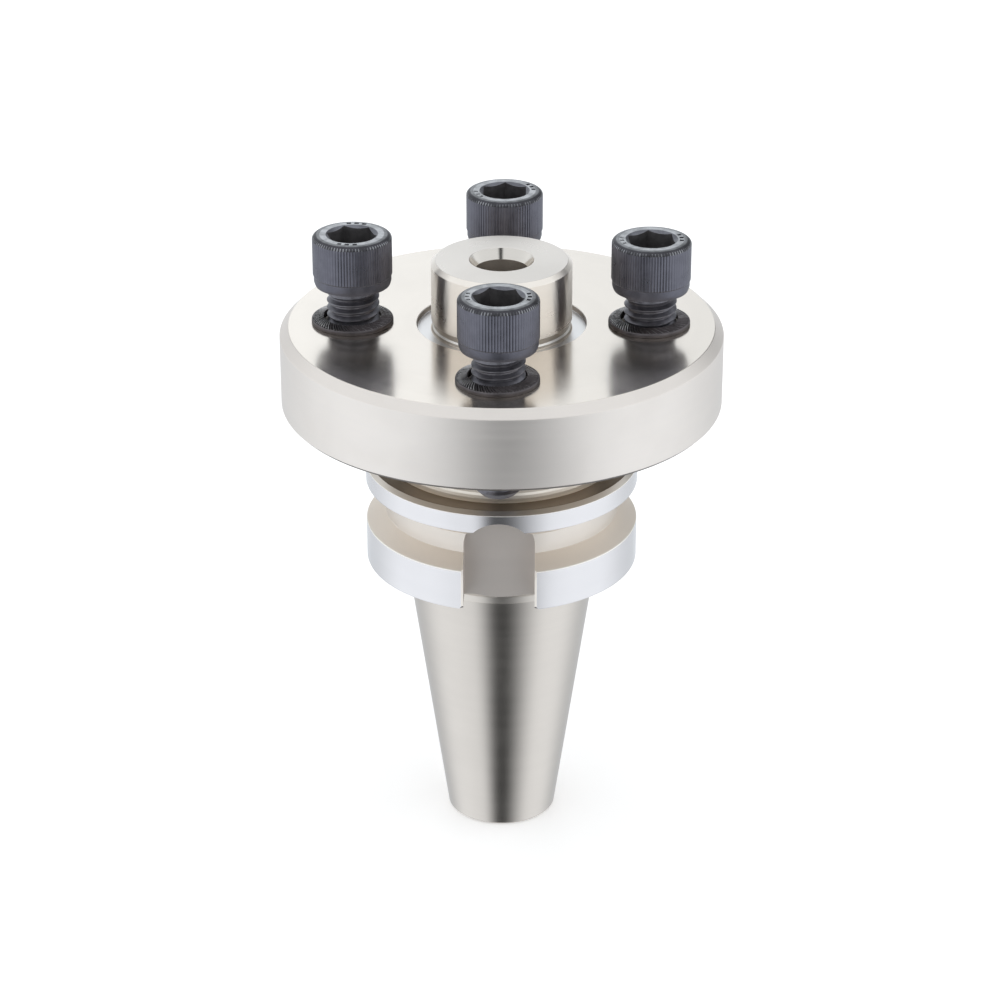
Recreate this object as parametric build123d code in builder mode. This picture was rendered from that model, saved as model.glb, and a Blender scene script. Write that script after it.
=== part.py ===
from build123d import *
import math
import os

os.makedirs("parts", exist_ok=True)

# Boring head arbor with a steep taper shank, a gripper flange, a face disk and a pilot.
# Millimetres. The origin is the centre of the gauge circle, where the taper is 44.45 wide.
# +Z runs along the axis from the taper towards the pilot. The drive slots face -Y and +Y.

# Taper shank
gauge_diameter = 44.45
taper_length = 65.4
taper_rise = 7.0
taper_run = 24.0
shank_end_chamfer = 0.6
land_start = -0.75
land_chamfer = 1.1

# Pull stud hole in the small end
stud_drill_diameter = 14.0
stud_drill_depth = 38.0
stud_seat_diameter = 17.0
stud_seat_depth = 5.0

# Gripper flange
flange_diameter = 63.0
flange_bottom = 2.0
flange_height = 25.0
groove_centre = 16.6
groove_width = 10.0
groove_angle = 60.0
groove_root_diameter = 54.0
flange_top_chamfer = 1.0

# Drive slots
slot_width = 16.2
slot_floor = 22.5
slot_arch_height = 16.0
slot_edge_chamfer = 0.6

# Neck and face disk
neck_diameter = 50.0
neck_length = 14.0
disk_diameter = 101.0
disk_thickness = 19.0
disk_face_chamfer = 2.0
disk_back_chamfer = 0.8

# Pilot, the relief at its foot, the recess round it and the bore through it
pilot_diameter = 32.0
pilot_height = 15.2
pilot_chamfer = 1.0
relief_depth = 0.5
relief_height = 1.0
recess_diameter = 38.6
recess_depth = 1.3
recess_wall_taper = 0.15
bore_diameter = 12.0
centre_diameter = 14.7
centre_angle = 60.0

# Tapped holes in the disk
screw_circle_diameter = 67.4
thread_clearance = 0.05

# Cap screws
screw_diameter = 12.0
screw_length = 34.5
screw_point_chamfer = 0.9
head_diameter = 18.0
head_height = 12.0
head_flat_diameter = 16.2
head_bevel_height = 0.8
head_collar_height = 2.4
head_collar_diameter = 17.2
knurl_depth = 0.3
knurl_count = 40
socket_across_flats = 10.0
socket_depth = 6.0

# Serrated lock washers
washer_outer_diameter = 18.6
washer_bore_diameter = 13.0
washer_thickness = 1.15
washer_cone_rise = 0.45
washer_drift = 0.2
tooth_count = 24
tooth_depth = 0.25
tooth_angle = 148.0
tooth_skew = 30.0
tooth_rim = 0.85

# How far each screw's head stands off the disk
stand_off_right = 8.4
stand_off_back = 7.4
stand_off_left = 9.05
stand_off_front = 7.75

# How far each screw is turned, in degrees
turn_right = -23.0
turn_back = 30.0
turn_left = -9.0
turn_front = -9.0

# The screws in the order of their holes round the disk, with the stand-off and turn of each
screw_settings = {
    "right": (stand_off_right, turn_right),
    "back": (stand_off_back, turn_back),
    "left": (stand_off_left, turn_left),
    "front": (stand_off_front, turn_front),
}

# Heights and radii that follow from the sizes above
gauge_radius = gauge_diameter / 2
taper_slope = taper_rise / taper_run / 2
shank_end = -taper_length
land_radius = gauge_radius + taper_slope * land_start
flange_radius = flange_diameter / 2
flange_top = flange_bottom + flange_height
groove_root_radius = groove_root_diameter / 2
flank_rise = (flange_radius - groove_root_radius) * math.tan(math.radians(groove_angle / 2))
groove_low = groove_centre - groove_width / 2
groove_high = groove_centre + groove_width / 2
neck_radius = neck_diameter / 2
disk_radius = disk_diameter / 2
disk_back = flange_top + neck_length
disk_face = disk_back + disk_thickness
pilot_radius = pilot_diameter / 2
pilot_top = disk_face + pilot_height
relief_radius = pilot_radius - relief_depth
relief_top = disk_face + relief_height
recess_radius = recess_diameter / 2
recess_floor = disk_face - recess_depth
screw_circle_radius = screw_circle_diameter / 2
screw_circle = PolarLocations(screw_circle_radius, len(screw_settings))
hole_centres = [place.position for place in screw_circle]
screw_radius = screw_diameter / 2
tapped_hole_radius = screw_radius + thread_clearance

# Arbor body: taper, flange, neck, disk and pilot, turned and ground from one bar
end_radius = gauge_radius + taper_slope * shank_end
end_chamfer_top = shank_end + shank_end_chamfer
with BuildPart() as arbor_body:
    with BuildSketch(Plane.XZ):
        with BuildLine():
            Polyline(
                (0, shank_end),
                (end_radius - shank_end_chamfer, shank_end),
                (gauge_radius + taper_slope * end_chamfer_top, end_chamfer_top),
                (land_radius, land_start),
                (land_radius, flange_bottom - land_chamfer),
                (land_radius + land_chamfer, flange_bottom),
                (flange_radius, flange_bottom),
                (flange_radius, groove_low),
                (groove_root_radius, groove_low + flank_rise),
                (groove_root_radius, groove_high - flank_rise),
                (flange_radius, groove_high),
                (flange_radius, flange_top - flange_top_chamfer),
                (flange_radius - flange_top_chamfer, flange_top),
                (neck_radius, flange_top),
                (neck_radius, disk_back),
                (disk_radius - disk_back_chamfer, disk_back),
                (disk_radius, disk_back + disk_back_chamfer),
                (disk_radius, disk_face - disk_face_chamfer),
                (disk_radius - disk_face_chamfer, disk_face),
                (recess_radius, disk_face),
                (recess_radius - recess_wall_taper, recess_floor),
                (relief_radius, recess_floor),
                (relief_radius, relief_top),
                (pilot_radius, relief_top),
                (pilot_radius, pilot_top - pilot_chamfer),
                (pilot_radius - pilot_chamfer, pilot_top),
                (0, pilot_top),
                (0, shank_end),
            )
        make_face()
    revolve(axis=Axis.Z)

    # Bore through the pilot, with a centre cone at its mouth
    with Locations(Plane.XY.offset(pilot_top)):
        CounterSinkHole(
            bore_diameter / 2,
            centre_diameter / 2,
            depth=pilot_top - shank_end,
            counter_sink_angle=centre_angle,
        )

    # Pull stud hole with its seat, from the small end
    with Locations(Plane(origin=(0, 0, shank_end), z_dir=(0, 0, -1))):
        CounterBoreHole(
            stud_drill_diameter / 2,
            stud_seat_diameter / 2,
            stud_seat_depth,
            depth=stud_drill_depth,
        )

    # Drive slots, milled to a flat floor and rounded at the top
    for side in (-1, 1):
        slot_plane = Plane(origin=(0, side * slot_floor, 0), x_dir=(-side, 0, 0), z_dir=(0, side, 0))
        with BuildSketch(slot_plane):
            with Locations((0, slot_arch_height)):
                Circle(slot_width / 2)
                Rectangle(slot_width, slot_arch_height, align=(Align.CENTER, Align.MAX))
        extrude(amount=flange_radius, mode=Mode.SUBTRACT)
    slot_mouths = (
        arbor_body.edges()
        .filter_by(Axis.Z)
        .filter_by(lambda edge: edge.center().Z < groove_low)
        .filter_by(lambda edge: math.isclose(abs(edge.center().X), slot_width / 2, abs_tol=0.01))
        .filter_by(lambda edge: abs(edge.center().Y) > groove_root_radius)
    )
    chamfer(slot_mouths, length=slot_edge_chamfer)

    # Tapped holes right through the disk
    with Locations(Plane.XY.offset(disk_face)):
        with Locations(hole_centres):
            Hole(tapped_hole_radius, depth=disk_thickness)
arbor_body.part.label = "arbor_body"
export_step(arbor_body.part, "parts/arbor_body.step")

# Pattern for the cap screws: one screw on the Z axis with its underside at height 0
collar_radius = head_collar_diameter / 2
crest_radius = head_diameter / 2
valley_radius = crest_radius - knurl_depth
bevel_start = head_height - head_bevel_height
with BuildPart() as screw_pattern:
    with BuildSketch(Plane.XZ):
        with BuildLine():
            Polyline(
                (0, -screw_length),
                (screw_radius - screw_point_chamfer, -screw_length),
                (screw_radius, screw_point_chamfer - screw_length),
                (screw_radius, 0),
                (collar_radius, 0),
                (collar_radius, bevel_start),
                (head_flat_diameter / 2, head_height),
                (0, head_height),
                (0, -screw_length),
            )
        make_face()
    revolve(axis=Axis.Z)

    # Straight knurl above the collar: a crest and a valley for each flute
    with BuildSketch(Plane.XY.offset(head_collar_height)):
        with BuildLine():
            crests = PolarLocations(crest_radius, knurl_count)
            valleys = PolarLocations(valley_radius, knurl_count, start_angle=180 / knurl_count)
            Polyline(*[place.position for pair in zip(crests, valleys) for place in pair], close=True)
        make_face()
    extrude(amount=bevel_start - head_collar_height)

    # Hexagon socket
    with BuildSketch(Plane.XY.offset(head_height)):
        RegularPolygon(socket_across_flats / 2, 6, major_radius=False)
    extrude(amount=-socket_depth, mode=Mode.SUBTRACT)

# Cutter for one tooth gap: a V that follows the washer's cone, skewed from its radius
washer_outer_radius = washer_outer_diameter / 2
washer_bore_radius = washer_bore_diameter / 2
washer_width = washer_outer_radius - washer_bore_radius
washer_slope = math.degrees(math.atan(washer_cone_rise / washer_width))
tooth_reach = washer_outer_radius - tooth_rim
gap_foot = washer_thickness + washer_cone_rise * tooth_rim / washer_width - tooth_depth
gap_height = 2 * tooth_depth
gap_half_width = gap_height * math.tan(math.radians(tooth_angle / 2))
gap_plane = Plane(
    origin=(tooth_reach, 0, gap_foot),
    x_dir=Vector(0, -1, 0).rotate(Axis.Z, tooth_skew),
    z_dir=Vector(-1, 0, 0).rotate(Axis.Y, washer_slope).rotate(Axis.Z, tooth_skew),
)
with BuildPart() as tooth_gap:
    with BuildSketch(gap_plane):
        with BuildLine():
            Polyline((0, 0), (gap_half_width, gap_height), (-gap_half_width, gap_height), close=True)
        make_face()
    extrude(amount=2 * washer_width)

# Pattern for the lock washers: one conical ring on the Z axis, resting at height 0
with BuildPart() as washer_pattern:
    with BuildSketch(Plane.XZ):
        with BuildLine():
            Polyline(
                (washer_bore_radius, washer_cone_rise),
                (washer_outer_radius, 0),
                (washer_outer_radius, washer_thickness),
                (washer_bore_radius, washer_thickness + washer_cone_rise),
                close=True,
            )
        make_face()
    revolve(axis=Axis.Z)
    with PolarLocations(0, tooth_count):
        add(tooth_gap.part, mode=Mode.SUBTRACT)

# Four screws stand part way out of their holes, with a washer lying loose round each
for centre, (side, (stand_off, turn)) in zip(hole_centres, screw_settings.items()):
    with BuildPart() as cap_screw:
        with Locations((centre.X, centre.Y, disk_face + stand_off)):
            add(screw_pattern.part, rotation=(0, 0, turn))
    cap_screw.part.label = f"cap_screw_{side}"
    export_step(cap_screw.part, f"parts/cap_screw_{side}.step")
    with BuildPart() as lock_washer:
        with Locations((centre.X - washer_drift, centre.Y, disk_face)):
            add(washer_pattern.part, rotation=(0, 0, turn))
    lock_washer.part.label = f"lock_washer_{side}"
    export_step(lock_washer.part, f"parts/lock_washer_{side}.step")
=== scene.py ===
import math
import bmesh
import bpy
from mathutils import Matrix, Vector


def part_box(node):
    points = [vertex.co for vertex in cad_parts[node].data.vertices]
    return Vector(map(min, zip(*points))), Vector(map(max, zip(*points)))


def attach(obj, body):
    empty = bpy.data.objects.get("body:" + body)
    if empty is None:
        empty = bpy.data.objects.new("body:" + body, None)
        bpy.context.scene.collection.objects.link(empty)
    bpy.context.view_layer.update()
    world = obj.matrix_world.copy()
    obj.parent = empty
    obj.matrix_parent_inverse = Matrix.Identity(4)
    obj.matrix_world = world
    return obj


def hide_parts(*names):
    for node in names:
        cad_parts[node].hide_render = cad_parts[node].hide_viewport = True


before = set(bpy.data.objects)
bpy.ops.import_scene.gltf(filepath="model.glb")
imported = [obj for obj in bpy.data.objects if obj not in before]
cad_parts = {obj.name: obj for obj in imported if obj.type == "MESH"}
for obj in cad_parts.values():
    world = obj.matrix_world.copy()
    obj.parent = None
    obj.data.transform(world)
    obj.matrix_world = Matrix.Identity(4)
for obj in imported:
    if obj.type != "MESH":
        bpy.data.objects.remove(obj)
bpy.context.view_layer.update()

# Sizes are in millimetres and angles in degrees, in the part's own frame. MM turns them into metres.
MM = 0.001
SIDES = ("front", "right", "back", "left")

# Body sizes that the frame gives
body_low, body_high = (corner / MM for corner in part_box("arbor_body"))
shank_end = body_low.z
pilot_top = body_high.z
disk_radius = body_high.x

# Taper and land
gauge_radius = 22.225
taper_slope = 7 / 24 / 2
land_start = -0.75
land_step = 0.1
land_chamfer = 1.1
shank_end_chamfer = 0.6

# Pull stud hole. Its thread fades out over the last stretch below the top.
stud_seat_radius = 8.5
stud_seat_depth = 5.0
stud_seat_height = shank_end + stud_seat_depth
stud_drill_radius = 7.0
stud_drill_depth = 38.0
stud_drill_cone = 0.6
stud_thread_top = shank_end + stud_drill_depth
stud_fade_start = 3.5
stud_fade_end = 1.0
stud_thread_pitch = 2.0
stud_thread_depth = 1.08
stud_thread_relief = 0.08

# Gripper flange and drive slots
flange_radius = 31.5
flange_bottom = 2.0
flange_top = 27.0
flange_top_chamfer = 1.0
groove_low = 11.6
groove_high = 21.6
groove_root_radius = 27.0
groove_flank_angle = 30.0
slot_width = 16.2
slot_floor = 22.5
slot_arch_height = 16.0
slot_edge_chamfer = 0.6
slot_corner_easing = 1.15

# Neck, disk, recess, pilot and bore
neck_radius = 25.0
neck_length = 14.0
disk_thickness = 19.0
disk_back = flange_top + neck_length
disk_face = disk_back + disk_thickness
disk_back_chamfer = 0.8
disk_face_chamfer = 2.0
recess_radius = 19.3
recess_depth = 1.3
recess_wall_taper = 0.15
recess_floor = disk_face - recess_depth
relief_radius = 15.5
relief_height = 1.0
relief_top = disk_face + relief_height
relief_top_chamfer = 0.25
relief_foot_radius = 15.8
relief_foot_height = 0.75
relief_foot = recess_floor + relief_foot_height
relief_foot_chamfer = 0.35
pilot_radius = 16.0
pilot_chamfer = 1.0
bore_radius = 6.0
centre_radius = 7.35
centre_angle = 60.0

# Tapped holes
tapped_hole_radius = 6.05
tapped_hole_mouth = 6.7

# How far each screw is turned, and the bearing of the dashes on its head
screw_turn = {"front": -9.0, "right": -23.0, "back": 30.0, "left": -9.0}
stamp_bearing = {"front": 0.0, "right": 8.0, "back": 22.0, "left": 84.0}

# Screw shank and thread. The thread fades out over the last stretch below the head.
screw_length = 34.5
screw_pitch = 1.75
screw_radius = 5.95
thread_root_radius = 5.05
shank_radius = 5.4
shank_fillet = 0.4
point_radius = 3.9
screw_fade_start = 2.6
screw_fade_end = 1.0

# Screw head. The flute profile runs from crest to crest, in shares of the knurl's depth.
head_height = 12.0
head_radius = 9.0
head_flat_radius = 7.3
shoulder_drop = 1.0
shoulder_rows = 7
# Shoulder rows whose crest ends get painted glints, then the top rows that are painted lighter
glint_rows = 3
lit_rows = 2
collar_height = 2.4
collar_low = 1.1
collar_radius = 8.78
collar_foot_radius = 8.62
collar_foot_height = 0.5
underside_radius = 8.15
underside_easing = 0.3
underside_rise = 0.12
knurl_lead = 0.3
knurl_depth = 0.085
knurl_count = 80
flute_profile = (0.0, 0.1, 0.55, 1.0, 0.55, 0.1)
flute_crest = (0, 5)
head_sharp_angle = 24.0

# Dashes stamped into the head, and the hexagon socket
dash_outer_radius = 7.25
dash_inner_radius = 6.3
dash_wall = 0.1
dash_sink = 0.22
dash_spacing = 15.0
dash_half_width = 4.0
socket_flat_radius = 5.0
socket_mouth_radius = 5.9
socket_mouth_slope = 0.6
socket_depth = 6.0
socket_floor_bevel = 0.3
socket_point_depth = 1.4

# Washers. The tooth profile runs from crest to crest, in shares of a tooth's depth.
washer_radius = 9.3
washer_bore_radius = 6.5
washer_thickness = 1.15
washer_cone_rise = 0.45
washer_shoulder = 0.7
washer_shoulder_drop = 0.525
washer_rim_easing = 0.22
washer_rim_rise = 0.06
washer_rim_insets = (0.05, 0.14)
washer_bore_easing = 0.12
tooth_count = 76
tooth_depth = 0.26
tooth_skew = 35.0
tooth_reach = 9.0
tooth_rows = 6
tooth_profile = (0.0, 0.1, 0.6, 1.0, 0.6, 0.1)
tooth_crest = (5, 0, 1)
tooth_sharp_angle = 30.0

# Within this reach of this bearing every tooth's crest gets a painted highlight, and outside it every
# other tooth's crest tip; the rest of the teeth are painted shade
highlight_bearing = 105.0
highlight_reach = 117.0

# Fineness of the round work, and the bend that one step of a corner's arc takes
TURNED_STEPS = 288
THREAD_STEPS = 72
SHANK_STEPS = 96
HEAD_STEPS = knurl_count * len(flute_profile)
TOOTH_STEPS = tooth_count * len(tooth_profile)
ARCH_STEPS = 40
CORNER_STEPS = 16
ARC_STEP = 25.0

# The body's finishes, each with its own values for bright_steel
warm_steel = (0.70, 0.635, 0.56)
BODY_FINISHES = {
    "ground taper": dict(tone=(0.66, 0.605, 0.55), roughness=0.28),
    "turned end": dict(tone=warm_steel, roughness=0.3, across_face=1.0),
    "ground land": dict(tone=(0.69, 0.635, 0.575), roughness=0.3),
    "flange underside": dict(tone=warm_steel, roughness=0.25, across_face=1.0),
    "bright rim": dict(tone=(0.715, 0.69, 0.69), roughness=0.15, stretch=0.7),
    "gripper groove": dict(
        tone=(0.86, 0.78, 0.69), roughness=0.58, across_face=1.0, stretch=0.2, metal=0.9
    ),
    "groove root": dict(tone=(0.73, 0.665, 0.60), roughness=0.38),
    # Painted shade: the flange top under the disk is toned dark brown.
    "flange top": dict(tone=(0.29, 0.235, 0.18), roughness=0.34, across_face=1.0),
    "flange edge": dict(tone=warm_steel, roughness=0.3),
    # Painted light: the neck is toned paler than bare steel so that it shows bright under the disk.
    "turned neck": dict(tone=(0.92, 0.84, 0.74), roughness=0.32, metal=0.85),
    # Painted shade: the disk's underside is toned dark.
    "disk back": dict(tone=(0.38, 0.325, 0.27), roughness=0.3, across_face=1.0),
    # Painted shadow: the disk's lower chamfer is toned near black.
    "disk back edge": dict(tone=(0.17, 0.15, 0.135), roughness=0.4),
    "disk side": dict(tone=(0.795, 0.74, 0.69), roughness=0.47, stretch=0.3),
    "disk chamfer": dict(tone=(0.765, 0.703, 0.646), roughness=0.42, stretch=0.3),
    "ground face": dict(
        tone=(0.71, 0.65, 0.58), roughness=0.165, across_face=1.0, depth=0.0004, stretch=0.6, metal=0.975
    ),
    # Painted shade: the recess wall is toned darker brown than the face.
    "recess wall": dict(tone=(0.46, 0.40, 0.34), roughness=0.35),
    "recess": dict(tone=(0.75, 0.735, 0.72), roughness=0.34, across_face=1.0),
    # Painted shade: the undercut at the pilot's foot is toned darker than the pilot.
    "pilot relief": dict(tone=(0.62, 0.55, 0.47), roughness=0.34),
    "ground pilot": dict(tone=(0.88, 0.805, 0.72), roughness=0.27, depth=0.0001, stretch=1.0),
    "pilot top": dict(tone=(0.615, 0.57, 0.52), roughness=0.27, across_face=1.0, depth=0.00015),
    "centre cone": dict(tone=(0.63, 0.585, 0.53), roughness=0.14),
    "reamed bore": dict(tone=(0.48, 0.42, 0.36), roughness=0.45),
    "cut thread": dict(tone=warm_steel, roughness=0.3),
    "milled slot": dict(tone=(0.70, 0.64, 0.59), roughness=0.56, stretch=0.0),
    "slot edge": dict(tone=(0.735, 0.675, 0.61), roughness=0.3, stretch=0.0),
    # Painted highlight: a pale line on the rims' top edges, the recess lip and the pilot's foot.
    "painted edge highlight": dict(tone=(0.9, 0.85, 0.78), roughness=0.4, stretch=0.0),
    # Painted shadow: near black, in the eased corners at the slot mouths.
    "painted corner shadow": dict(tone=(0.12, 0.11, 0.12), roughness=0.5, stretch=0.0),
    "tapped hole": dict(tone=(0.5, 0.46, 0.42), roughness=0.35, spacing=0.9, depth=0.05),
}

# The screws' and washers' finishes, each with its own values for black_steel
oxide = (0.14, 0.138, 0.163)
SCREW_FINISHES = {
    "black thread": dict(tone=(0.185, 0.178, 0.195), rubbed=(0.3, 0.3, 0.32), roughness=0.38, grain=0.01),
    "black head": dict(tone=oxide, rubbed=(0.42, 0.42, 0.44), roughness=0.44, mottle=0.82),
    "black knurl": dict(tone=oxide, rubbed=oxide, roughness=0.31, mottle=0.85, metal=0.95, grain=0.001),
    # Painted shade: the shoulder rounding and the stamped dashes are toned darker than the oxide.
    "black with painted shade": dict(tone=(0.07, 0.067, 0.074), rubbed=(0.2, 0.2, 0.2), roughness=0.4, metal=0.95),
    # Painted light: the shoulder's top rows are toned lighter than the oxide.
    "painted lit shoulder": dict(tone=(0.2, 0.2, 0.205), rubbed=(0.3, 0.3, 0.3), roughness=0.36, mottle=0.5),
    # Painted glints on the knurl crests' ends.
    "painted knurl glint": dict(tone=(0.3, 0.3, 0.31), rubbed=(0.5, 0.5, 0.5), roughness=0.3, mottle=0.15),
    # Painted highlight: the head's flat top is toned light.
    "painted lit top": dict(tone=(0.42, 0.42, 0.425), rubbed=(0.6, 0.6, 0.6), roughness=0.34, mottle=0.55),
    "socket mouth": dict(tone=(0.18, 0.178, 0.195), rubbed=(0.4, 0.4, 0.42), roughness=0.34, mottle=0.7),
    "black socket": dict(tone=(0.18, 0.17, 0.17), rubbed=(0.2, 0.2, 0.2), roughness=0.5),
}
WASHER_FINISHES = {
    "black washer": dict(tone=(0.115, 0.101, 0.102), rubbed=(0.34, 0.32, 0.31), roughness=0.38, wear=0.16),
    # Painted shade: the teeth are toned darker than the washer, save the highlighted crests.
    "painted shaded tooth": dict(tone=(0.066, 0.056, 0.057), rubbed=(0.1, 0.1, 0.1), roughness=0.4),
    # Painted highlight on the crests of the teeth.
    "painted tooth highlight": dict(tone=(0.44, 0.42, 0.41), rubbed=(0.6, 0.6, 0.6), roughness=0.28, mottle=0.3),
}


def within(angle, middle, reach):
    """Whether an angle lies within the given reach of another, in degrees."""
    return abs((angle - middle + 180) % 360 - 180) < reach


def share_between(value, low, high):
    """How far a value has come from low to high, from 0 to 1."""
    return min(max((value - low) / (high - low), 0.0), 1.0)


class Skin:
    """Points, faces and the finish of each face of one piece, round an upright axis."""

    def __init__(self, finishes):
        self.finishes = list(finishes)
        self.points = []
        self.faces = []
        self.face_finishes = []

    def point(self, radius, angle, height):
        self.points.append((radius * math.cos(angle), radius * math.sin(angle), height))
        return len(self.points) - 1

    def ring(self, steps, radius_at, height_at, twist=0.0):
        """One closed ring. Radius and height are numbers, or functions of the step."""
        made = []
        for step in range(steps):
            radius = radius_at(step) if callable(radius_at) else radius_at
            height = height_at(step) if callable(height_at) else height_at
            made.append(self.point(radius, math.tau * step / steps + twist, height))
        return made

    def face(self, corners, finish):
        distinct = list(dict.fromkeys(corners))
        if len(distinct) > 2:
            self.faces.append(distinct)
            self.face_finishes.append(self.finishes.index(finish))

    def join(self, one, other, finish):
        """Faces between two rings. One ring may have a whole number of times the other's steps.
        The finish is a name, or a function of the step."""
        finish_at = finish if callable(finish) else lambda step: finish
        few, many = sorted((one, other), key=len)
        times = len(many) // len(few)
        back = times // 2
        for step in range(len(few)):
            following = few[(step + 1) % len(few)]
            if times == 1:
                corners = (few[step], following, many[(step + 1) % len(many)], many[step])
                self.face(corners, finish_at(step))
                continue
            fan = [many[(step * times + shift) % len(many)] for shift in range(-back, times - back + 1)]
            for first, second in zip(fan, fan[1:]):
                self.face((few[step], first, second), finish_at(step))
            self.face((few[step], fan[-1], following), finish_at(step))

    def stack(self, previous, steps, rows):
        """Rings one after another, each joined to the one before it. Returns the last one."""
        for radius_at, height_at, finish in rows:
            ring = self.ring(steps, radius_at, height_at)
            self.join(previous, ring, finish)
            previous = ring
        return previous

    def thread(self, steps, low, high, pitch, outline, fit, finish):
        """A right-hand thread from low to high. The outline has a share of the pitch and a
        radius at each point, and fit trims a radius by its height. Returns the end rings."""
        start = low - 2 * pitch
        turns = math.ceil((high - start) / pitch) + 2
        columns = []
        ends = []
        for step in range(steps):
            angle = math.tau * step / steps
            bottom = self.point(fit(outline[0][1], low), angle, low)
            top = self.point(fit(outline[0][1], high), angle, high)
            ends.append((bottom, top))
            column = []
            for turn in range(turns):
                for share, radius in outline:
                    height = start + pitch * (turn + share + step / steps)
                    if height <= low:
                        column.append(bottom)
                    elif height >= high:
                        column.append(top)
                    else:
                        column.append(self.point(fit(radius, height), angle, height))
            columns.append(column)
        for step in range(steps):
            lift = len(outline) if step == steps - 1 else 0
            near, far = columns[step], columns[(step + 1) % steps]
            for row in range(len(near) - lift - 1):
                self.face((near[row], far[row + lift], far[row + lift + 1], near[row + 1]), finish)
        return [bottom for bottom, _ in ends], [top for _, top in ends]

    def piece(self, name, materials, place=(0.0, 0.0, 0.0), turn=0.0):
        """The finished object, in metres, with every face turned outward."""
        cosine, sine = math.cos(math.radians(turn)), math.sin(math.radians(turn))
        placed = []
        for x, y, z in self.points:
            turned = (x * cosine - y * sine, x * sine + y * cosine, z)
            placed.append([(part + shift) * MM for part, shift in zip(turned, place)])
        mesh = bpy.data.meshes.new(name)
        mesh.from_pydata(placed, [], self.faces)
        for finish in self.finishes:
            mesh.materials.append(materials[finish])
        mesh.polygons.foreach_set("material_index", self.face_finishes)
        work = bmesh.new()
        work.from_mesh(mesh)
        bmesh.ops.recalc_face_normals(work, faces=work.faces)
        work.to_mesh(mesh)
        work.free()
        mesh.polygons.foreach_set("use_smooth", [True] * len(mesh.polygons))
        made = bpy.data.objects.new(name, mesh)
        bpy.context.scene.collection.objects.link(made)
        return made


def rounded_outline(corners):
    """Points of an outline whose corners are eased by an arc: (radius, height, finish).
    A corner has its radius, height, easing and the finish that follows it. Its arc may have its own."""
    outline = []
    for number, (radius, height, easing, finish, *edge) in enumerate(corners):
        corner = Vector((radius, height))
        before = Vector(corners[number - 1][:2]) - corner
        after = Vector(corners[(number + 1) % len(corners)][:2]) - corner
        if not easing:
            outline.append((radius, height, finish))
            continue
        bend = math.pi - before.angle(after)
        before.normalize()
        after.normalize()
        centre = corner + (before + after).normalized() * easing / math.cos(bend / 2)
        first = corner + before * easing * math.tan(bend / 2) - centre
        last = corner + after * easing * math.tan(bend / 2) - centre
        steps = max(2, round(math.degrees(bend) / ARC_STEP))
        for step in range(steps + 1):
            share = step / steps
            first_part = math.sin((1 - share) * bend) / math.sin(bend)
            last_part = math.sin(share * bend) / math.sin(bend)
            arc_finish = edge[0] if edge and step < steps else finish
            outline.append((*(centre + first * first_part + last * last_part), arc_finish))
    return outline


def taper_at(height):
    """The taper's radius at a height."""
    return gauge_radius + taper_slope * height


def body_outline():
    """The turned outline, from the stud thread's mouth round the outside to its top."""
    land_radius = taper_at(land_start)
    chamfer_top = shank_end + shank_end_chamfer
    groove_depth = flange_radius - groove_root_radius
    flank_rise = groove_depth * math.tan(math.radians(groove_flank_angle))
    centre_depth = (centre_radius - bore_radius) / math.tan(math.radians(centre_angle / 2))
    return rounded_outline([
        (stud_drill_radius + stud_thread_depth, stud_seat_height, 0, "turned end"),
        (stud_seat_radius, stud_seat_height, 0, "turned end"),
        (stud_seat_radius, shank_end, 0.25, "turned end"),
        (taper_at(shank_end) - shank_end_chamfer, shank_end, 0.2, "turned end"),
        (taper_at(chamfer_top), chamfer_top, 0.2, "ground taper"),
        (land_radius - land_step, land_start, 0, "ground land"),
        (land_radius, land_start + land_step, 0, "ground land"),
        (land_radius, flange_bottom - land_chamfer, 0.3, "ground land"),
        (land_radius + land_chamfer, flange_bottom, 0.2, "flange underside"),
        (flange_radius, flange_bottom, 0.3, "bright rim"),
        (flange_radius, groove_low, 0.3, "gripper groove", "painted edge highlight"),
        (groove_root_radius, groove_low + flank_rise, 0.12, "groove root"),
        (groove_root_radius, groove_high - flank_rise, 0.12, "gripper groove"),
        (flange_radius, groove_high, 0.25, "bright rim"),
        (flange_radius, flange_top - flange_top_chamfer, 0.2, "flange edge", "painted edge highlight"),
        (flange_radius - flange_top_chamfer, flange_top, 0.2, "flange top"),
        (neck_radius, flange_top, 1.6, "turned neck"),
        (neck_radius, disk_back, 0.8, "disk back"),
        (disk_radius - disk_back_chamfer, disk_back, 0.2, "disk back edge"),
        (disk_radius, disk_back + disk_back_chamfer, 0.25, "disk side"),
        (disk_radius, disk_face - disk_face_chamfer, 0.3, "disk chamfer"),
        (disk_radius - disk_face_chamfer, disk_face, 0.25, "ground face"),
        (recess_radius, disk_face, 0.2, "recess wall", "painted edge highlight"),
        (recess_radius - recess_wall_taper, recess_floor, 0.15, "recess"),
        (relief_foot_radius, recess_floor, 0.3, "pilot relief"),
        (relief_foot_radius, relief_foot, 0.08, "painted edge highlight"),
        (relief_radius, relief_foot + relief_foot_chamfer, 0, "pilot relief"),
        (relief_radius, relief_top, 0, "pilot relief"),
        (pilot_radius, relief_top + relief_top_chamfer, 0.1, "ground pilot"),
        (pilot_radius, pilot_top - pilot_chamfer, 0.15, "ground pilot"),
        (pilot_radius - pilot_chamfer, pilot_top, 0.15, "pilot top"),
        (centre_radius, pilot_top, 0.12, "centre cone"),
        (bore_radius, pilot_top - centre_depth, 0.1, "reamed bore"),
        (bore_radius, stud_thread_top + stud_drill_cone, 0, "reamed bore"),
        (stud_drill_radius, stud_thread_top, 0, "reamed bore"),
    ])


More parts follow.
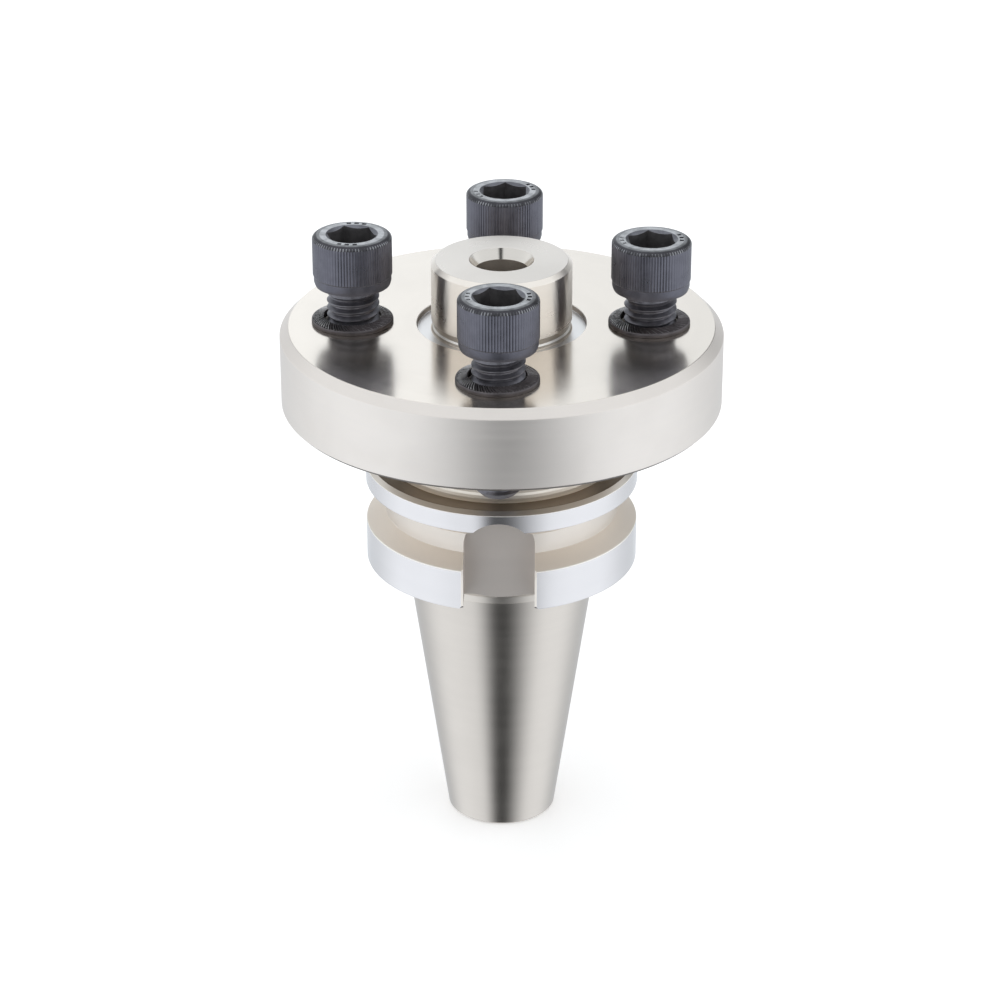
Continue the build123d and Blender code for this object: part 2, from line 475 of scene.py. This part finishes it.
def body_blank(materials):
    """The arbor as it leaves the lathe, with the pull stud thread cut."""
    skin = Skin(BODY_FINISHES)
    outline = body_outline()
    rings = [skin.ring(TURNED_STEPS, radius, height) for radius, height, _ in outline]
    for lower, upper, (_, _, finish) in zip(rings, rings[1:], outline):
        skin.join(lower, upper, finish)
    crest = stud_drill_radius - stud_thread_relief
    root = crest + stud_thread_depth
    thread_outline = ((0.0, crest), (0.125, crest), (0.46, root), (0.665, root))

    def fit(radius, height):
        """The thread fades into the drilled wall at its top, and has an eased mouth."""
        fade = share_between(height, stud_thread_top - stud_fade_start, stud_thread_top - stud_fade_end)
        faded = radius + (stud_drill_radius - radius) * fade
        mouth = stud_drill_radius + stud_thread_depth - (height - stud_seat_height)
        return max(faded, mouth)

    mouth_ring, top_ring = skin.thread(
        THREAD_STEPS, stud_seat_height, stud_thread_top, stud_thread_pitch,
        thread_outline, fit, "cut thread",
    )
    skin.join(mouth_ring, rings[0], "turned end")
    skin.join(top_ring, rings[-1], "reamed bore")
    return skin.piece("arbor_body_turned", materials)


def prism(name, outline, low, high, materials, finish, axis="Y"):
    """A cutter: an outline in the other two axes, drawn out from low to high along one axis."""
    skin = Skin(BODY_FINISHES)
    for along in (low, high):
        for across, up in outline:
            skin.points.append((across, along, up) if axis == "Y" else (across, up, along))
    count = len(outline)
    skin.face(range(count), finish)
    skin.face(range(count, 2 * count), finish)
    for corner in range(count):
        following = (corner + 1) % count
        skin.face((corner, following, count + following, count + corner), finish)
    return skin.piece(name, materials)


def slot_cutter(side, materials):
    """A drive slot: straight walls up to a half round top."""
    half = slot_width / 2
    outline = [(-half, 0.0), (half, 0.0)]
    for step in range(ARCH_STEPS + 1):
        angle = math.pi * step / ARCH_STEPS
        outline.append((half * math.cos(angle), slot_arch_height + half * math.sin(angle)))
    past_rim = flange_radius + 5
    near, far = sorted((side * slot_floor, side * past_rim))
    return prism("slot_cutter", outline, near, far, materials, "milled slot")


def slot_mouth_cutter(side, edge, materials):
    """The chamfer down one mouth of a slot, on the lower rim alone."""
    half = slot_width / 2
    rim = math.sqrt(flange_radius**2 - half**2)
    reach = 2.0
    low = flange_bottom - 1
    high = groove_low + 1.5
    outline = [
        (edge * (half - reach), side * (rim - slot_edge_chamfer - reach)),
        (edge * (half + slot_edge_chamfer + reach), side * (rim + reach)),
        (edge * (half - reach), side * (rim + reach)),
    ]
    return prism("slot_mouth_cutter", outline, low, high, materials, "slot edge", axis="Z")


def corner_cutter(side, edge, materials):
    """A small cone that eases the corner where a slot's mouth meets the flange's underside. Its faces
    carry a near-black painted shadow.
    """
    skin = Skin(BODY_FINISHES)
    half = slot_width / 2
    rim = math.sqrt(flange_radius**2 - half**2)
    below = 0.3
    tip_radius = 0.01
    foot = skin.ring(CORNER_STEPS, slot_corner_easing + below, flange_bottom - below)
    tip = skin.ring(CORNER_STEPS, tip_radius, flange_bottom + slot_corner_easing)
    skin.join(foot, tip, "painted corner shadow")
    skin.face(foot, "painted corner shadow")
    skin.face(tip, "painted corner shadow")
    return skin.piece("corner_cutter", materials, place=(edge * half, side * rim, 0.0))


def hole_cutter(centre, materials):
    """A tapped hole with an eased mouth at both faces."""
    skin = Skin(BODY_FINISHES)
    easing = tapped_hole_mouth - tapped_hole_radius
    reach = 1.0
    outline = (
        (tapped_hole_mouth + reach, disk_back - reach),
        (tapped_hole_radius, disk_back + easing),
        (tapped_hole_radius, disk_face - easing),
        (tapped_hole_mouth + reach, disk_face + reach),
    )
    rings = [skin.ring(THREAD_STEPS, radius, height) for radius, height in outline]
    for lower, upper in zip(rings, rings[1:]):
        skin.join(lower, upper, "tapped hole")
    skin.face(rings[0], "tapped hole")
    skin.face(rings[-1], "tapped hole")
    return skin.piece("hole_cutter", materials, place=(*centre, 0.0))


def cut(blank, cutters):
    """Takes the cutters out of the blank, one after another, and clears them away."""
    for cutter in cutters:
        taking = blank.modifiers.new("cut", "BOOLEAN")
        taking.operation = "DIFFERENCE"
        taking.solver = "EXACT"
        taking.material_mode = "INDEX"
        taking.object = cutter
        graph = bpy.context.evaluated_depsgraph_get()
        cut_mesh = bpy.data.meshes.new_from_object(blank.evaluated_get(graph))
        blank.modifiers.clear()
        blank.data = cut_mesh
        bpy.data.objects.remove(cutter)


def true_normals(piece, holes):
    """Sets each face corner's normal to that of the true round surface, so that chords don't show."""
    mesh = piece.data
    main_axis = (Vector((0, 0, 0)), Vector((0, 0, 1)))
    arch_axis = (Vector((0, 0, slot_arch_height * MM)), Vector((0, 1, 0)))
    hole_axes = [(Vector((x * MM, y * MM, 0)), Vector((0, 0, 1))) for x, y in holes]
    finish_names = list(BODY_FINISHES)

    def axis_of(face):
        """The axis that a face is turned round, or none where it is flat."""
        finish = finish_names[face.material_index]
        if finish in ("slot edge", "painted corner shadow"):
            return None
        if finish == "milled slot":
            curved = face.center.z > arch_axis[0].z and abs(face.normal.y) < 0.5
            return arch_axis if curved else None
        if finish == "tapped hole":
            return min(hole_axes, key=lambda axis: (axis[0].xy - face.center.xy).length)
        return main_axis

    normals = [Vector()] * len(mesh.loops)
    for face in mesh.polygons:
        axis = axis_of(face)
        for loop in face.loop_indices:
            normals[loop] = face.normal.copy()
        if axis is None:
            continue
        origin, direction = axis
        spoke = face.center - origin
        spoke = (spoke - direction * spoke.dot(direction)).normalized()
        outward = face.normal.dot(spoke)
        along = face.normal.dot(direction)
        for loop in face.loop_indices:
            arm = mesh.vertices[mesh.loops[loop].vertex_index].co - origin
            arm = (arm - direction * arm.dot(direction)).normalized()
            normals[loop] = (arm * outward + direction * along).normalized()
    mesh.polygons.foreach_set("use_smooth", [True] * len(mesh.polygons))
    mesh.normals_split_custom_set(normals)


def arbor_body(materials, holes):
    """The whole arbor: turned blank, drive slots and tapped holes."""
    body = body_blank(materials)
    corners = [(side, edge) for side in (-1, 1) for edge in (-1, 1)]
    cutters = [slot_cutter(side, materials) for side in (-1, 1)]
    cutters += [slot_mouth_cutter(side, edge, materials) for side, edge in corners]
    cutters += [corner_cutter(side, edge, materials) for side, edge in corners]
    cutters += [hole_cutter(centre, materials) for centre in holes]
    cut(body, cutters)
    true_normals(body, holes)
    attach(body, "arbor")
    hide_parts("arbor_body")


def screw_shank(skin):
    """The thread from the point up to the head's underside. Returns its top ring."""
    thread_outline = (
        (0.0, screw_radius),
        (0.125, screw_radius),
        (0.48, thread_root_radius),
        (0.645, thread_root_radius),
    )

    def fit(radius, height):
        """The thread fades into the shank under the head, and starts from a tapered point."""
        fade = share_between(height, -screw_fade_start, -screw_fade_end)
        faded = radius + (shank_radius - radius) * fade
        return min(faded, point_radius + height + screw_length)

    point_ring, neck_ring = skin.thread(
        SHANK_STEPS, -screw_length, -shank_fillet, screw_pitch, thread_outline, fit, "black thread"
    )
    skin.face(point_ring, "black thread")
    root_ring = skin.ring(SHANK_STEPS, shank_radius + shank_fillet, 0.0)
    skin.join(neck_ring, root_ring, "black head")
    return root_ring


def knurl_at(step):
    """The knurled head's radius at a step."""
    return head_radius - knurl_depth * flute_profile[step % len(flute_profile)]


def shoulder_row(row):
    """A ring of the round shoulder, where the flutes run out. In the rows just above the knurl the crests'
    ends get painted glints; the shoulder is painted dark, and lighter in its top rows.
    """
    rise = math.pi / 2 * row / shoulder_rows
    limit = head_flat_radius + (head_radius - head_flat_radius) * math.cos(rise)
    height = head_height - shoulder_drop * (1 - math.sin(rise))
    plain = "painted lit shoulder" if row > shoulder_rows - lit_rows else "black with painted shade"

    def radius_at(step):
        return min(limit, knurl_at(step))

    def finish_at(step):
        # Crest ends in the lower shoulder rows get a painted glint.
        rubbed = row <= glint_rows and step % len(flute_profile) in flute_crest
        return "painted knurl glint" if rubbed else plain

    if row == 0:
        return radius_at, height, "black knurl"
    return radius_at, height, finish_at


def dash_rows(side):
    """Rings across the head's top, with three short plain dashes stamped in on either hand."""
    bearing = stamp_bearing[side] - screw_turn[side]
    shifts = (-dash_spacing, 0, dash_spacing)
    dashes = [bearing + opposite + shift for opposite in (0, 180) for shift in shifts]

    def in_dash(step):
        angle = 360 * step / HEAD_STEPS
        return any(within(angle, dash, dash_half_width) for dash in dashes)

    def height_at(step):
        return head_height - (dash_sink if in_dash(step) else 0.0)

    # Stamped dashes take the painted-shade black; the rest of the top is painted light.
    def finish_at(step):
        return "black with painted shade" if in_dash(step) else "painted lit top"

    return [
        (dash_outer_radius, head_height, "painted lit top"),
        (dash_outer_radius - dash_wall, height_at, finish_at),
        (dash_inner_radius + dash_wall, height_at, finish_at),
        (dash_inner_radius, head_height, finish_at),
    ]


def hexagon_at(step):
    """The hexagon's reach from the axis at a step."""
    corner = math.pi / 3
    return socket_flat_radius / math.cos((math.tau * step / HEAD_STEPS) % corner - corner / 2)


def socket_mouth_at(step):
    """The height at which the hexagon comes out in the round chamfer at its mouth."""
    return head_height - socket_mouth_slope * (socket_mouth_radius - hexagon_at(step))


def cap_screw(side, place, materials):
    """A cap screw: thread, collar, knurled head with a round shoulder, and hexagon socket."""
    skin = Skin(SCREW_FINISHES)
    socket_floor = head_height - socket_depth
    rows = [
        (underside_radius, 0.0, "black head"),
        (underside_radius + underside_easing, underside_rise, "black head"),
        (collar_foot_radius, collar_foot_height, "black head"),
        (collar_radius, collar_low, "black head"),
        (collar_radius, collar_height, "black head"),
        (knurl_at, collar_height + knurl_lead, "black knurl"),
    ]
    rows += [shoulder_row(row) for row in range(shoulder_rows + 1)]
    rows += dash_rows(side)
    rows += [
        (socket_mouth_radius, head_height, "painted lit top"),
        (hexagon_at, socket_mouth_at, "socket mouth"),
        (hexagon_at, socket_floor, "black socket"),
        (socket_flat_radius - socket_floor_bevel, socket_floor - socket_floor_bevel / 2, "black socket"),
    ]
    floor_ring = skin.stack(screw_shank(skin), HEAD_STEPS, rows)
    middle = skin.point(0.0, 0.0, socket_floor - socket_point_depth)
    for step in range(HEAD_STEPS):
        skin.face((floor_ring[step], floor_ring[(step + 1) % HEAD_STEPS], middle), "black socket")
    screw = skin.piece(f"cap_screw_{side}_dressed", materials, place, screw_turn[side])
    screw.data.set_sharp_from_angle(angle=math.radians(head_sharp_angle))
    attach(screw, f"screw_{side}")
    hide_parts(f"cap_screw_{side}")


def washer_top_at(radius):
    """The washer's top surface: a cone that rounds over towards the rim."""
    width = washer_radius - washer_bore_radius
    share = max((radius - washer_radius + washer_shoulder) / washer_shoulder, 0.0)
    cone = washer_thickness + washer_cone_rise * (washer_radius - radius) / width
    return cone - washer_shoulder_drop * (1 - math.sqrt(1 - share**2))


def tooth_twist_at(radius):
    """How far a slanting tooth has turned at a radius."""
    return math.tan(math.radians(tooth_skew)) * math.log(radius / washer_bore_radius)


def toothed_ring(skin, radius, height, twist=0.0):
    """A ring of the washer that rises and falls with the teeth."""

    def height_at(step):
        return height - tooth_depth * tooth_profile[step % len(tooth_profile)]

    return skin.ring(TOOTH_STEPS, radius, height_at, twist)


def lock_washer(side, place, materials):
    """A conical lock washer with slanting teeth from its hole to its smooth rim."""
    skin = Skin(WASHER_FINISHES)
    underside_and_rim = (
        (washer_bore_radius, washer_cone_rise),
        (washer_radius - washer_rim_easing, 0.0),
        (washer_radius - washer_rim_easing / 4, washer_rim_rise),
        (washer_radius, washer_rim_easing),
        (washer_radius, washer_top_at(washer_radius)),
    )
    rings = [skin.ring(TOOTH_STEPS, radius, height) for radius, height in underside_and_rim]
    for inset in washer_rim_insets:
        radius = washer_radius - inset
        rings.append(skin.ring(TOOTH_STEPS, radius, washer_top_at(radius), tooth_twist_at(tooth_reach)))
    first_toothed = len(rings)
    inner_radius = washer_bore_radius + washer_bore_easing
    for row in range(tooth_rows + 1):
        radius = tooth_reach + (inner_radius - tooth_reach) * row / tooth_rows
        rings.append(toothed_ring(skin, radius, washer_top_at(radius), tooth_twist_at(radius)))
    rings.append(toothed_ring(skin, washer_bore_radius, washer_top_at(inner_radius) - washer_bore_easing))

    def tooth_finish(step):
        """A painted highlight on every crest round the back of the washer, and on every other one at its
        front. The rest of the teeth are painted shade.
        """
        tooth, part = divmod(step, len(tooth_profile))
        bearing = 360 * tooth / tooth_count + screw_turn[side]
        if within(bearing, highlight_bearing, highlight_reach):
            return "painted tooth highlight" if part in tooth_crest else "painted shaded tooth"
        return "painted tooth highlight" if part == 0 and tooth % 2 else "painted shaded tooth"

    for row, (lower, upper) in enumerate(zip(rings, rings[1:] + rings[:1])):
        toothed = first_toothed <= row < first_toothed + tooth_rows
        skin.join(lower, upper, tooth_finish if toothed else "black washer")
    washer = skin.piece(f"lock_washer_{side}_dressed", materials, place, screw_turn[side])
    washer.data.set_sharp_from_angle(angle=math.radians(tooth_sharp_angle))
    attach(washer, "arbor")
    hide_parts(f"lock_washer_{side}")


class NodeBench:
    """Short ways to add and wire nodes in one tree. Values are numbers or sockets."""

    def __init__(self, tree):
        self.tree = tree

    def node(self, kind, **settings):
        made = self.tree.nodes.new(kind)
        for name, value in settings.items():
            setattr(made, name, value)
        return made

    def feed(self, socket, value):
        if isinstance(value, bpy.types.NodeSocket):
            self.tree.links.new(value, socket)
        else:
            socket.default_value = value

    def reckon(self, operation, *values, clamp=False):
        made = self.node("ShaderNodeMath", operation=operation, use_clamp=clamp)
        for socket, value in zip(made.inputs, values):
            self.feed(socket, value)
        return made.outputs[0]

    def plus(self, one, other, clamp=False):
        return self.reckon("ADD", one, other, clamp=clamp)

    def minus(self, one, other):
        return self.reckon("SUBTRACT", one, other)

    def times(self, first, *others, clamp=False):
        for other in others:
            first = self.reckon("MULTIPLY", first, other, clamp=clamp)
        return first

    def ease(self, value, low, high, to_low=0.0, to_high=1.0):
        """A smooth step from to_low to to_high as the value goes from low to high."""
        made = self.node("ShaderNodeMapRange", interpolation_type="SMOOTHSTEP")
        for socket, part in zip(made.inputs, (value, low, high, to_low, to_high)):
            self.feed(socket, part)
        return made.outputs[0]

    def tint(self, share, first, second):
        """A colour between two colours."""
        made = self.node("ShaderNodeMix", data_type="RGBA", clamp_factor=False)
        self.feed(made.inputs["Factor"], share)
        self.feed(made.inputs["A"], first)
        self.feed(made.inputs["B"], second)
        return made.outputs["Result"]

    def object_place(self):
        return self.node("ShaderNodeTexCoord").outputs["Object"]

    def sized_place(self, size):
        """The place on the object, counted in a size that is given in millimetres."""
        made = self.node("ShaderNodeVectorMath", operation="SCALE")
        self.feed(made.inputs[0], self.object_place())
        self.feed(made.inputs["Scale"], self.reckon("DIVIDE", 1 / MM, size))
        return made.outputs[0]

    def noise(self, place, scale, detail=2.0, roughness=0.5):
        made = self.node("ShaderNodeTexNoise")
        self.feed(made.inputs["Vector"], place)
        made.inputs["Scale"].default_value = scale
        made.inputs["Detail"].default_value = detail
        made.inputs["Roughness"].default_value = roughness
        return made.outputs[0]

    def group(self, effect, **values):
        """One of the shared effects, with its values. Underscores stand for spaces."""
        made = self.node("ShaderNodeGroup", node_tree=bpy.data.node_groups[effect])
        for name, value in values.items():
            self.feed(made.inputs[name.replace("_", " ")], value)
        return made.outputs


def new_effect(name, inputs, outputs):
    """A node group with named sockets, ready to be filled."""
    tree = bpy.data.node_groups.new(name, "ShaderNodeTree")
    for label, default in inputs.items():
        socket = tree.interface.new_socket(name=label, in_out="INPUT", socket_type="NodeSocketFloat")
        socket.default_value = default
    for label in outputs:
        tree.interface.new_socket(name=label, in_out="OUTPUT", socket_type="NodeSocketFloat")
    bench = NodeBench(tree)
    return bench, bench.node("NodeGroupInput").outputs, bench.node("NodeGroupOutput").inputs


def turning_marks_effect():
    """Fine rings left by the lathe or the grinding wheel, stacked up the axis or round a face."""
    inputs = {"Across face": 0.0, "Spacing": 0.2, "Wander": 0.05}
    bench, given, result = new_effect("Turning marks", inputs, ("Height", "Shade"))
    parts = bench.node("ShaderNodeSeparateXYZ")
    bench.feed(parts.inputs[0], bench.object_place())
    x, y, z = parts.outputs
    radius = bench.reckon("SQRT", bench.plus(bench.times(x, x), bench.times(y, y)))
    face_part = bench.times(radius, given["Across face"])
    axis_part = bench.times(z, bench.minus(1.0, given["Across face"]))
    across = bench.reckon("DIVIDE", bench.plus(face_part, axis_part), bench.times(given["Spacing"], MM))
    slow = bench.times(given["Wander"], 1 / MM)
    drawn = bench.node("ShaderNodeCombineXYZ")
    bench.feed(drawn.inputs["X"], across)
    bench.feed(drawn.inputs["Y"], bench.times(x, slow))
    bench.feed(drawn.inputs["Z"], bench.times(y, slow))
    bench.feed(result["Height"], bench.noise(drawn.outputs[0], 1.0, detail=1.0))
    bench.feed(result["Shade"], bench.noise(drawn.outputs[0], 0.22, detail=2.0))


def handling_effect():
    """A faint film from oil and handling, in soft patches."""
    bench, given, result = new_effect("Handling film", {"Patch size": 14.0}, ("Film",))
    patches = bench.noise(bench.sized_place(given["Patch size"]), 1.0, detail=4.0, roughness=0.6)
    bench.feed(result["Film"], bench.ease(patches, 0.38, 0.68))


def edge_wear_effect():
    """Where an edge turns sharply within the given width, in millimetres."""
    near_share = 0.05
    break_scale = 900.0
    bench, given, result = new_effect("Edge wear", {"Width": 0.3, "Breaks": 0.5}, ("Worn",))
    eased = bench.node("ShaderNodeBevel", samples=4)
    bench.feed(eased.inputs["Radius"], bench.times(given["Width"], MM))
    plain = bench.node("ShaderNodeBevel", samples=2)
    bench.feed(plain.inputs["Radius"], bench.times(given["Width"], MM * near_share))
    turned = bench.node("ShaderNodeVectorMath", operation="DOT_PRODUCT")
    bench.feed(turned.inputs[0], eased.outputs[0])
    bench.feed(turned.inputs[1], plain.outputs[0])
    sharp = bench.ease(turned.outputs["Value"], 0.98, 0.88)
    broken = bench.ease(bench.noise(bench.object_place(), break_scale, detail=3.0), 0.35, 0.6)
    kept = bench.minus(1.0, bench.times(given["Breaks"], bench.minus(1.0, broken)))
    bench.feed(result["Worn"], bench.times(sharp, kept, clamp=True))


def oxide_effect():
    """Black oxide: soft blotches and a fine matt grain."""
    inputs = {"Blotch size": 2.5, "Grain size": 0.12}
    bench, given, result = new_effect("Black oxide", inputs, ("Blotch", "Grain"))
    for label, source, detail in (("Blotch", "Blotch size", 4.0), ("Grain", "Grain size", 2.0)):
        place = bench.sized_place(given[source])
        bench.feed(result[label], bench.noise(place, 1.0, detail=detail, roughness=0.6))


def new_material(name):
    material = bpy.data.materials.new(name)
    material.use_nodes = True
    bench = NodeBench(material.node_tree)
    return material, bench, material.node_tree.nodes["Principled BSDF"].inputs


def bump(bench, height, strength, distance):
    """A normal from a height, whose full range is the given distance in millimetres."""
    made = bench.node("ShaderNodeBump")
    made.inputs["Strength"].default_value = strength
    made.inputs["Distance"].default_value = distance * MM
    bench.feed(made.inputs["Height"], height)
    return made.outputs[0]


def shade_of(tone, share=1.0):
    """A tone made darker or lighter, as a colour for a socket."""
    return (*[min(part * share, 1.0) for part in tone], 1)


def bright_steel(
    name, tone, roughness, across_face=0.0, spacing=0.5, depth=0.0006, stretch=0.5, metal=1.0
):
    """Machined or ground bare steel. The marks run round the axis, so reflections stretch across them."""
    clean_share = 0.9
    mark_haze = 0.25
    film_haze = 0.04
    worn_polish = 0.03
    marked_shade = 0.94
    filmed_shade = 0.85
    worn_shade = 1.18
    material, bench, shader = new_material(name)
    marks = bench.group("Turning marks", Across_face=across_face, Spacing=spacing)
    film = bench.group("Handling film")["Film"]
    worn = bench.group("Edge wear", Width=0.3)["Worn"]
    marked = bench.tint(marks["Shade"], shade_of(tone, marked_shade), shade_of(tone))
    filmed = bench.tint(bench.times(film, film_haze * 2), marked, shade_of(tone, filmed_shade))
    bench.feed(shader["Base Color"], bench.tint(worn, filmed, shade_of(tone, worn_shade)))
    shader["Metallic"].default_value = metal
    shader["Anisotropic"].default_value = stretch
    shader["Anisotropic Rotation"].default_value = 0.25
    tangent = bench.node("ShaderNodeTangent", direction_type="RADIAL", axis="Z")
    bench.feed(shader["Tangent"], tangent.outputs[0])
    hazed = bench.plus(roughness * clean_share, bench.times(film, film_haze))
    lined = bench.plus(hazed, bench.times(marks["Shade"], roughness * mark_haze))
    bench.feed(shader["Roughness"], bench.plus(lined, bench.times(worn, -worn_polish), clamp=True))
    bench.feed(shader["Normal"], bump(bench, marks["Height"], 1.0, depth))
    return material


def black_steel(
    name, tone, rubbed, roughness, wear=0.2, breaks=0.8, grain=0.006, mottle=0.72, metal=0.9
):
    """Steel with a black oxide coat, rubbed at its edges."""
    rubbed_share = 0.7
    uneven = 0.22
    grain_strength = 0.6
    material, bench, shader = new_material(name)
    coat = bench.group("Black oxide")
    worn = bench.group("Edge wear", Width=wear, Breaks=breaks)["Worn"]
    blotches = bench.ease(coat["Blotch"], 0.35, 0.65)
    blotched = bench.tint(blotches, shade_of(tone, mottle), shade_of(tone))
    bare = bench.times(worn, rubbed_share)
    bench.feed(shader["Base Color"], bench.tint(bare, blotched, shade_of(rubbed)))
    shader["Metallic"].default_value = metal
    spread = bench.times(bench.minus(coat["Blotch"], 0.5), uneven)
    bench.feed(shader["Roughness"], bench.plus(roughness, spread, clamp=True))
    bench.feed(shader["Normal"], bump(bench, coat["Grain"], grain_strength, grain))
    return material


def all_finishes():
    """Every finish of the arbor, its screws and its washers, by name."""
    bright = {name: bright_steel(name, **values) for name, values in BODY_FINISHES.items()}
    dark = {**SCREW_FINISHES, **WASHER_FINISHES}
    black = {name: black_steel(name, **values) for name, values in dark.items()}
    return {**bright, **black}


def height_of(angle):
    """The height of a direction of length 1 that points so many degrees above the level."""
    return math.sin(math.radians(angle))


def dark_gap(bench, east, north, up):
    """How dark the gap straight ahead is. It narrows as it rises, so its edges' bearings and its
    darkness are given for far down, near the level and higher up."""
    left_start = (-45, -23, -9)
    left_end = (-6, -5, 3)
    right_start = (6, -1, 7)
    right_end = (70, 45, 19)
    darkness = (0.98, 0.88, 0.94)
    bearing = bench.reckon("ARCTAN2", east, bench.times(north, -1.0))

    def by_height(far_down, near_level, higher):
        """Far down is 44 degrees below the level, and higher up is 10 degrees above it."""
        lower = bench.ease(up, height_of(-44), height_of(-26), far_down, near_level)
        return bench.ease(up, height_of(-15), height_of(10), lower, higher)

    def edge(bearings):
        return by_height(*(math.radians(angle) for angle in bearings))

    left_side = bench.ease(bearing, edge(left_start), edge(left_end))
    right_side = bench.ease(bearing, edge(right_start), edge(right_end), 1.0, 0.0)
    under_top = bench.ease(up, height_of(47), height_of(60), 1.0, 0.0)
    return bench.times(left_side, right_side, under_top, by_height(*darkness))


def light_level(bench, east, north, up):
    """How bright the light is, as a share of the plain light: more at the sides, less low down
    behind, and a panel higher behind with less light round it, above all to its right."""
    side_gain = 0.12
    low_loss = 0.24
    lowest_loss = 0.38
    panel_gain = 0.22
    round_panel = -0.42
    left_gain = 0.06
    right_loss = -0.34
    panel_shift = 0.02
    off_middle = bench.ease(bench.reckon("ABSOLUTE", east), 0.45, 0.85, 0.0, side_gain)
    sides = bench.times(off_middle, bench.ease(up, 0.5, 0.2))
    lost = bench.ease(up, -0.44, -0.52, low_loss, lowest_loss)
    low_down = bench.ease(up, height_of(5), height_of(-20))
    low_behind = bench.times(bench.ease(north, 0.0, 0.65), lost, low_down)
    off_panel = bench.reckon("ABSOLUTE", bench.plus(east, panel_shift))
    panel = bench.ease(off_panel, 0.12, 0.34, panel_gain, round_panel)
    rightward = bench.ease(east, -0.16, 0.2, left_gain, right_loss)
    above = bench.ease(up, height_of(0), height_of(10))
    panel_behind = bench.times(bench.plus(panel, rightward), bench.ease(north, 0.45, 0.75), above)
    return bench.plus(bench.minus(bench.plus(1.0, sides), low_behind), panel_behind)


def studio_world():
    """Soft cool light all round, with a dark gap straight ahead. The camera itself sees white."""
    cool_light = (1.07, 1.13, 1.19, 1)
    black = (0.0, 0.0, 0.0, 1)
    white = (1.0, 1.0, 1.0, 1)
    world = bpy.data.worlds.new("soft studio")
    bpy.context.scene.world = world
    world.use_nodes = True
    bench = NodeBench(world.node_tree)
    parts = bench.node("ShaderNodeSeparateXYZ")
    bench.feed(parts.inputs[0], bench.node("ShaderNodeTexCoord").outputs["Generated"])
    east, north, up = parts.outputs
    open_share = bench.minus(1.0, dark_gap(bench, east, north, up))
    shown = bench.times(light_level(bench, east, north, up), open_share)
    light = bench.tint(shown, black, cool_light)
    seen = bench.node("ShaderNodeLightPath").outputs["Is Camera Ray"]
    background = world.node_tree.nodes["Background"]
    bench.feed(background.inputs["Color"], bench.tint(seen, light, white))
    background.inputs["Strength"].default_value = 1.0


def studio_floor():
    """A plain pale floor under the shank's end, clear from below so that the underside can be seen."""
    reach = 3.0
    glow = 0.28
    pale = (0.88, 0.85, 0.82, 1)
    paler = (0.9, 0.87, 0.84, 1)
    mesh = bpy.data.meshes.new("floor")
    corners = [(-reach, -reach), (reach, -reach), (reach, reach), (-reach, reach)]
    mesh.from_pydata([(x, y, shank_end * MM) for x, y in corners], [], [(0, 1, 2, 3)])
    material, bench, shader = new_material("pale floor")
    cloud = bench.noise(bench.object_place(), 3.0)
    bench.feed(shader["Base Color"], bench.tint(cloud, pale, paler))
    shader["Roughness"].default_value = 0.9
    shader["Specular IOR Level"].default_value = 0.0
    shader["Emission Color"].default_value = (1.0, 1.0, 1.0, 1)
    shader["Emission Strength"].default_value = glow
    nodes = material.node_tree.nodes
    see_through = bench.node("ShaderNodeMixShader")
    bench.feed(see_through.inputs[0], bench.node("ShaderNodeNewGeometry").outputs["Backfacing"])
    bench.feed(see_through.inputs[1], nodes["Principled BSDF"].outputs[0])
    bench.feed(see_through.inputs[2], bench.node("ShaderNodeBsdfTransparent").outputs[0])
    bench.feed(nodes["Material Output"].inputs["Surface"], see_through.outputs[0])
    mesh.materials.append(material)
    floor = bpy.data.objects.new("floor", mesh)
    bpy.context.scene.collection.objects.link(floor)
    floor.visible_glossy = False


def studio_camera():
    """The photograph's view: a long lens in front of the arbor and a little above it."""
    view_distance = 749.97
    view_elevation = math.radians(25.534)
    view_turn = math.radians(1.2)
    aim = Vector((-0.375, -0.008, 15.102))
    back = Vector((
        math.sin(view_turn) * math.cos(view_elevation),
        -math.cos(view_turn) * math.cos(view_elevation),
        math.sin(view_elevation),
    ))
    lens = bpy.data.cameras.new("photograph")
    lens.sensor_width = 36.0
    lens.lens = 115.7
    camera = bpy.data.objects.new("photograph", lens)
    camera.location = (aim + back * view_distance) * MM
    camera.rotation_mode = "QUATERNION"
    camera.rotation_quaternion = (-back).to_track_quat("-Z", "Y")
    bpy.context.scene.collection.objects.link(camera)
    bpy.context.scene.camera = camera


def foot_of(node):
    """The height of a node's lowest point, in millimetres."""
    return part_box(node)[0].z / MM


def top_of(node):
    """The height of a node's highest point, in millimetres."""
    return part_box(node)[1].z / MM


def node_place(node, height):
    """A node's axis, with a height in place of its middle, in millimetres."""
    low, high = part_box(node)
    middle = (low + high) / 2 / MM
    return (middle.x, middle.y, height)


turning_marks_effect()
handling_effect()
edge_wear_effect()
oxide_effect()
finishes = all_finishes()
screw_places = {}
for side in SIDES:
    screw_node = f"cap_screw_{side}"
    screw_places[side] = node_place(screw_node, top_of(screw_node) - head_height)
arbor_body(finishes, [place[:2] for place in screw_places.values()])
for side in SIDES:
    washer_node = f"lock_washer_{side}"
    cap_screw(side, screw_places[side], finishes)
    lock_washer(side, node_place(washer_node, foot_of(washer_node)), finishes)
studio_world()
studio_floor()
studio_camera()
bpy.context.scene.view_settings.view_transform = "Standard"
